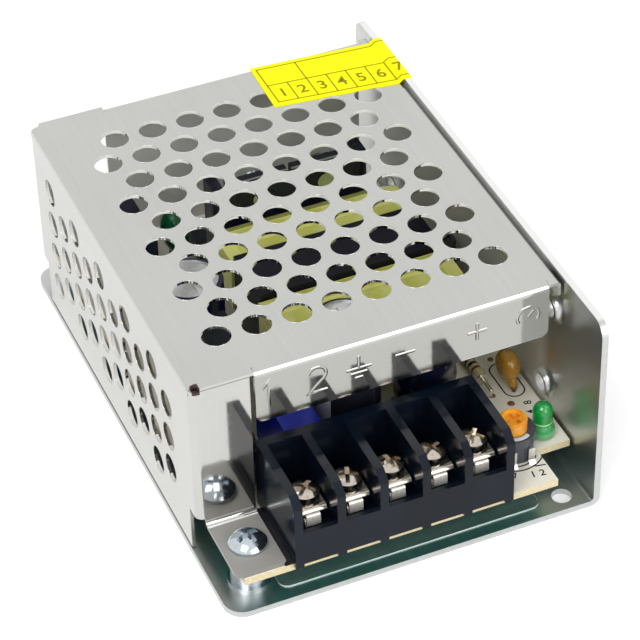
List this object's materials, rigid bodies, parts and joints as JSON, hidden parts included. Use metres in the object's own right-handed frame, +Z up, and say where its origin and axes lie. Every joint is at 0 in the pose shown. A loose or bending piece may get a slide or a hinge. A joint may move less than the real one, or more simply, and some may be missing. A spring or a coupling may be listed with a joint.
{
  "type": "mesh case switching power supply",
  "caption": "Open-frame switching power supply in a folded metal case with a perforated cover, a tall side wall, a board on standoffs and a barrier terminal block",
  "frame": {"origin": "centre of the base plate's underside", "axes": "+X along the terminal row towards the tall wall, +Y from the terminals to the rear, +Z up from the base plate"},
  "size_m": [0.0581, 0.0854, 0.0342],
  "materials": {
    "chassis_steel": "satin plated sheet",
    "cover_steel": "satin plated sheet",
    "sticker_paper": "printed paper label",
    "zinc_screw": "bright zinc plate",
    "nickel_plate": "bright nickel plate",
    "tinned_metal": "tin plate",
    "nickel_brass": "nickel plated brass",
    "clear_film": "clear film",
    "board_resin": "phenolic board with white print side up",
    "black_moulding": "moulded nylon",
    "grey_moulding": "moulded",
    "orange_moulding": "moulded",
    "green_lens": "tinted epoxy",
    "mustard_resin": "dipped resin",
    "tan_resin": "painted resin",
    "blue_case": "moulded case",
    "brown_moulding": "moulded case",
    "ferrite": "sintered ferrite",
    "enamelled_copper": "enamelled copper wire",
    "black_sleeve": "shrunk sleeve",
    "green_resin": "dipped resin",
    "pale_blue_resin": "dipped resin",
    "black_epoxy": "moulded epoxy",
    "white_epoxy": "moulded epoxy",
    "yellow_tape": "polyester tape",
    "black_aluminium": "black anodised",
    "grey_pad": "thermal pad"
  },
  "bodies": {
    "case": {"base_chassis": "chassis_steel", "top_cover": "cover_steel", "seal_sticker": "sticker_paper", "front_foot_screw": "zinc_screw", "rear_foot_screw": "zinc_screw", "insulating_film": "clear_film", "board_standoffs": "nickel_brass", "circuit_board": "board_resin", "board_screws": "zinc_screw", "terminal_housing": "black_moulding", "terminal_strips": "tinned_metal", "trimmer_body": "grey_moulding", "indicator_led": "green_lens", "dipped_capacitor": "mustard_resin", "band_resistor": "tan_resin", "film_capacitor": "blue_case", "inlet_fuse": "brown_moulding", "line_choke_core": "ferrite", "line_choke_winding": "enamelled_copper", "main_capacitor": "black_sleeve", "inrush_limiter": "green_resin", "suppression_capacitor": "pale_blue_resin", "bridge_rectifier": "black_epoxy", "transformer_core": "ferrite", "transformer_bobbin": "black_moulding", "transformer_winding": "yellow_tape", "heat_sink": "black_aluminium", "insulating_pads": "grey_pad", "switching_transistor": "black_epoxy", "output_rectifier": "black_epoxy", "device_screws": "zinc_screw", "control_chip": "black_epoxy", "optocoupler": "white_epoxy", "bias_capacitor": "black_sleeve", "output_capacitors": "black_sleeve", "output_choke_core": "ferrite", "output_choke_winding": "enamelled_copper"},
    "trimmer_knob": {"trimmer_rotor": "orange_moulding"},
    "clamp_1": {"clamp_plate_1": "nickel_plate", "lock_washer_1": "nickel_plate"},
    "screw_1": {"clamp_screw_1": "nickel_plate"},
    "clamp_2": {"clamp_plate_2": "nickel_plate", "lock_washer_2": "nickel_plate"},
    "screw_2": {"clamp_screw_2": "nickel_plate"},
    "clamp_3": {"clamp_plate_3": "nickel_plate", "lock_washer_3": "nickel_plate"},
    "screw_3": {"clamp_screw_3": "nickel_plate"},
    "clamp_4": {"clamp_plate_4": "nickel_plate", "lock_washer_4": "nickel_plate"},
    "screw_4": {"clamp_screw_4": "nickel_plate"},
    "clamp_5": {"clamp_plate_5": "nickel_plate", "lock_washer_5": "nickel_plate"},
    "screw_5": {"clamp_screw_5": "nickel_plate"}
  },
  "joints": [
    {"name": "trimmer_turn", "type": "hinge", "parent": "case", "child": "trimmer_knob", "pos_m": [0.0189, -0.0339, 0.0117], "axis": [0, 0, 1], "range_deg": [-105, 105]},
    {"name": "clamp_1_lift", "type": "slide", "parent": "case", "child": "clamp_1", "axis": [0, 0, 1], "range_m": [0, 0.0018]},
    {"name": "screw_1_turn", "type": "hinge", "parent": "clamp_1", "child": "screw_1", "pos_m": [-0.0152, -0.0373, 0.0146], "axis": [0, 0, 1], "range_deg": [0, 1441]},
    {"name": "clamp_2_lift", "type": "slide", "parent": "case", "child": "clamp_2", "axis": [0, 0, 1], "range_m": [0, 0.0018]},
    {"name": "screw_2_turn", "type": "hinge", "parent": "clamp_2", "child": "screw_2", "pos_m": [-0.0087, -0.0373, 0.0146], "axis": [0, 0, 1], "range_deg": [0, 1441]},
    {"name": "clamp_3_lift", "type": "slide", "parent": "case", "child": "clamp_3", "axis": [0, 0, 1], "range_m": [0, 0.0018]},
    {"name": "screw_3_turn", "type": "hinge", "parent": "clamp_3", "child": "screw_3", "pos_m": [-0.0022, -0.0373, 0.0146], "axis": [0, 0, 1], "range_deg": [0, 1441]},
    {"name": "clamp_4_lift", "type": "slide", "parent": "case", "child": "clamp_4", "axis": [0, 0, 1], "range_m": [0, 0.0018]},
    {"name": "screw_4_turn", "type": "hinge", "parent": "clamp_4", "child": "screw_4", "pos_m": [0.0043, -0.0373, 0.0146], "axis": [0, 0, 1], "range_deg": [0, 1441]},
    {"name": "clamp_5_lift", "type": "slide", "parent": "case", "child": "clamp_5", "axis": [0, 0, 1], "range_m": [0, 0.0018]},
    {"name": "screw_5_turn", "type": "hinge", "parent": "clamp_5", "child": "screw_5", "pos_m": [0.0108, -0.0373, 0.0146], "axis": [0, 0, 1], "range_deg": [0, 1441]}
  ],
  "couplings": [
    {"joint": "screw_1_turn", "follows": "clamp_1_lift", "rad_per_m": 13963},
    {"joint": "screw_2_turn", "follows": "clamp_2_lift", "rad_per_m": 13963},
    {"joint": "screw_3_turn", "follows": "clamp_3_lift", "rad_per_m": 13963},
    {"joint": "screw_4_turn", "follows": "clamp_4_lift", "rad_per_m": 13963},
    {"joint": "screw_5_turn", "follows": "clamp_5_lift", "rad_per_m": 13963}
  ]
}
